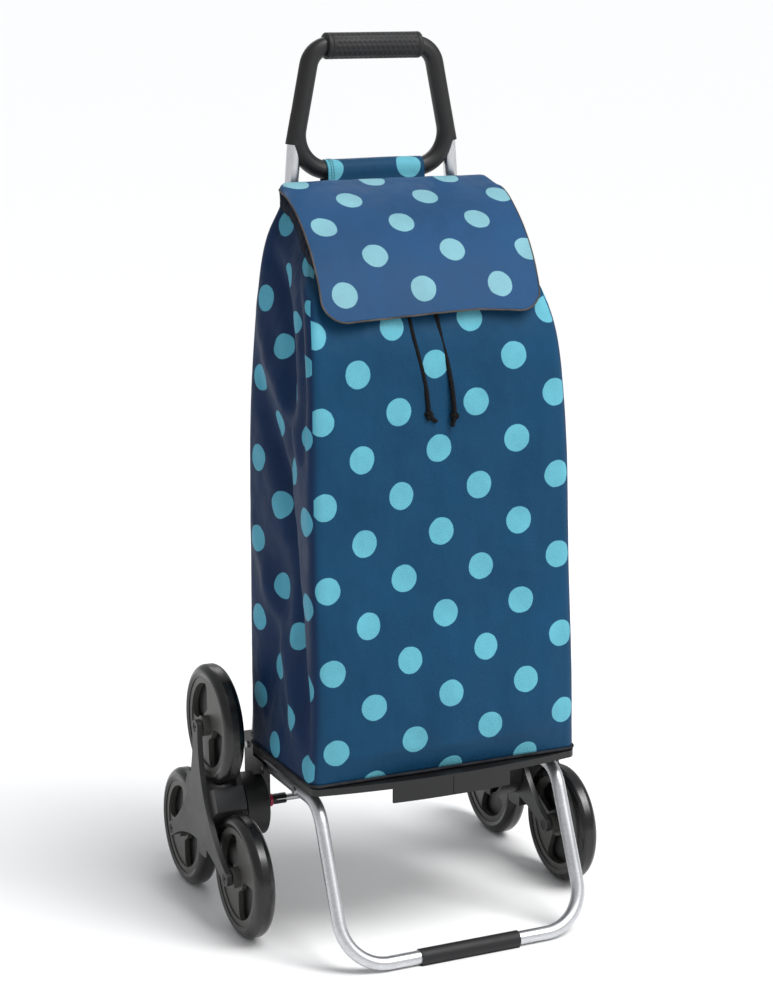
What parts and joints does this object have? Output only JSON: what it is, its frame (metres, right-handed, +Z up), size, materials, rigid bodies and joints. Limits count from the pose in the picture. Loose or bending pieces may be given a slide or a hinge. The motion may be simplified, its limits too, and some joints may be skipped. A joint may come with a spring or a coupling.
{
  "type": "shopping trolley",
  "caption": "Fabric shopping trolley with a closed trapezoid handle, a flap bag, a folding tubular base leg and a stair-climbing wheel cluster on each side.",
  "frame": {"origin": "on the floor, under the middle of the standing trolley", "axes": "+Z up, the bag's front faces -Y, +X to the right seen from the front"},
  "size_m": [0.466, 0.4228, 1.02],
  "materials": {
    "tyre": "satin moulded rubber",
    "rim": "fine-grained dark grey plastic",
    "cluster_plastic": "satin dark grey plastic",
    "black_plastic": "satin black plastic",
    "tube": "bright drawn tube",
    "steel": "zinc-plated",
    "washer": "red",
    "rubber": "dimpled rubber",
    "board": "black fibre board",
    "fabric": "navy twill with pale blue spots",
    "trim": "dark woven tape",
    "cord": "black braided cord",
    "eyelet": "black"
  },
  "bodies": {
    "root": {"axle": "steel", "axle_collars": "black_plastic", "axle_washers": "washer", "bag_back": "fabric", "bag_base_board": "board", "bag_floor": "fabric", "bag_front": "fabric", "bag_handle_strap": "fabric", "bag_left_side": "fabric", "bag_mouth_hem": "trim", "bag_right_side": "fabric", "bag_tube_loops": "trim", "bracket_screws": "steel", "cord_eyelets": "eyelet", "handle_frame": "black_plastic", "handle_grip": "rubber", "handle_screws": "steel", "hinge_rod": "steel", "left_axle_nut": "steel", "left_bracket": "black_plastic", "left_cord_knot": "cord", "left_drawcord": "cord", "left_upright": "tube", "right_axle_nut": "steel", "right_bracket": "black_plastic", "right_cord_knot": "cord", "right_drawcord": "cord", "right_upright": "tube"},
    "left_front_wheel": {"left_front_rim": "rim", "left_front_tyre": "tyre"},
    "left_rear_wheel": {"left_rear_rim": "rim", "left_rear_tyre": "tyre"},
    "left_cluster": {"left_spider_core": "cluster_plastic", "left_spider_inner": "cluster_plastic", "left_spider_outer": "cluster_plastic", "left_wheel_pins": "steel"},
    "left_top_wheel": {"left_top_rim": "rim", "left_top_tyre": "tyre"},
    "right_front_wheel": {"right_front_rim": "rim", "right_front_tyre": "tyre"},
    "right_rear_wheel": {"right_rear_rim": "rim", "right_rear_tyre": "tyre"},
    "right_cluster": {"right_spider_core": "cluster_plastic", "right_spider_inner": "cluster_plastic", "right_spider_outer": "cluster_plastic", "right_wheel_pins": "steel"},
    "right_top_wheel": {"right_top_rim": "rim", "right_top_tyre": "tyre"},
    "base": {"tray": "black_plastic", "leg_loop": "tube", "foot_sleeve": "rubber", "leg_rivets": "steel"},
    "flap": {"bag_flap": "fabric"}
  },
  "joints": [
    {"name": "left_cluster_turn", "type": "hinge", "parent": "root", "child": "left_cluster", "pos_m": [-0.208, 0.04987, 0.1235], "axis": [1, 0, 0], "continuous": true},
    {"name": "left_top_wheel_spin", "type": "hinge", "parent": "left_cluster", "child": "left_top_wheel", "pos_m": [-0.208, 0.04987, 0.2275], "axis": [1, 0, 0], "continuous": true},
    {"name": "left_front_wheel_spin", "type": "hinge", "parent": "left_cluster", "child": "left_front_wheel", "pos_m": [-0.208, -0.0402, 0.0715], "axis": [1, 0, 0], "continuous": true},
    {"name": "left_rear_wheel_spin", "type": "hinge", "parent": "left_cluster", "child": "left_rear_wheel", "pos_m": [-0.208, 0.13993, 0.0715], "axis": [1, 0, 0], "continuous": true},
    {"name": "right_cluster_turn", "type": "hinge", "parent": "root", "child": "right_cluster", "pos_m": [0.208, 0.04987, 0.1235], "axis": [1, 0, 0], "continuous": true},
    {"name": "right_top_wheel_spin", "type": "hinge", "parent": "right_cluster", "child": "right_top_wheel", "pos_m": [0.208, 0.04987, 0.2275], "axis": [1, 0, 0], "continuous": true},
    {"name": "right_front_wheel_spin", "type": "hinge", "parent": "right_cluster", "child": "right_front_wheel", "pos_m": [0.208, -0.0402, 0.0715], "axis": [1, 0, 0], "continuous": true},
    {"name": "right_rear_wheel_spin", "type": "hinge", "parent": "right_cluster", "child": "right_rear_wheel", "pos_m": [0.208, 0.13993, 0.0715], "axis": [1, 0, 0], "continuous": true},
    {"name": "base_fold", "type": "hinge", "parent": "root", "child": "base", "pos_m": [0, 0.01387, 0.178], "axis": [-1, 0, 0], "range_deg": [0, 88], "deforming": ["bag_front", "bag_back", "bag_left_side", "bag_right_side", "bag_floor", "bag_base_board"]},
    {"name": "flap_open", "type": "hinge", "parent": "root", "child": "flap", "pos_m": [0, 0.02587, 0.8555], "axis": [-1, 0, 0], "range_deg": [0, 118]}
  ]
}
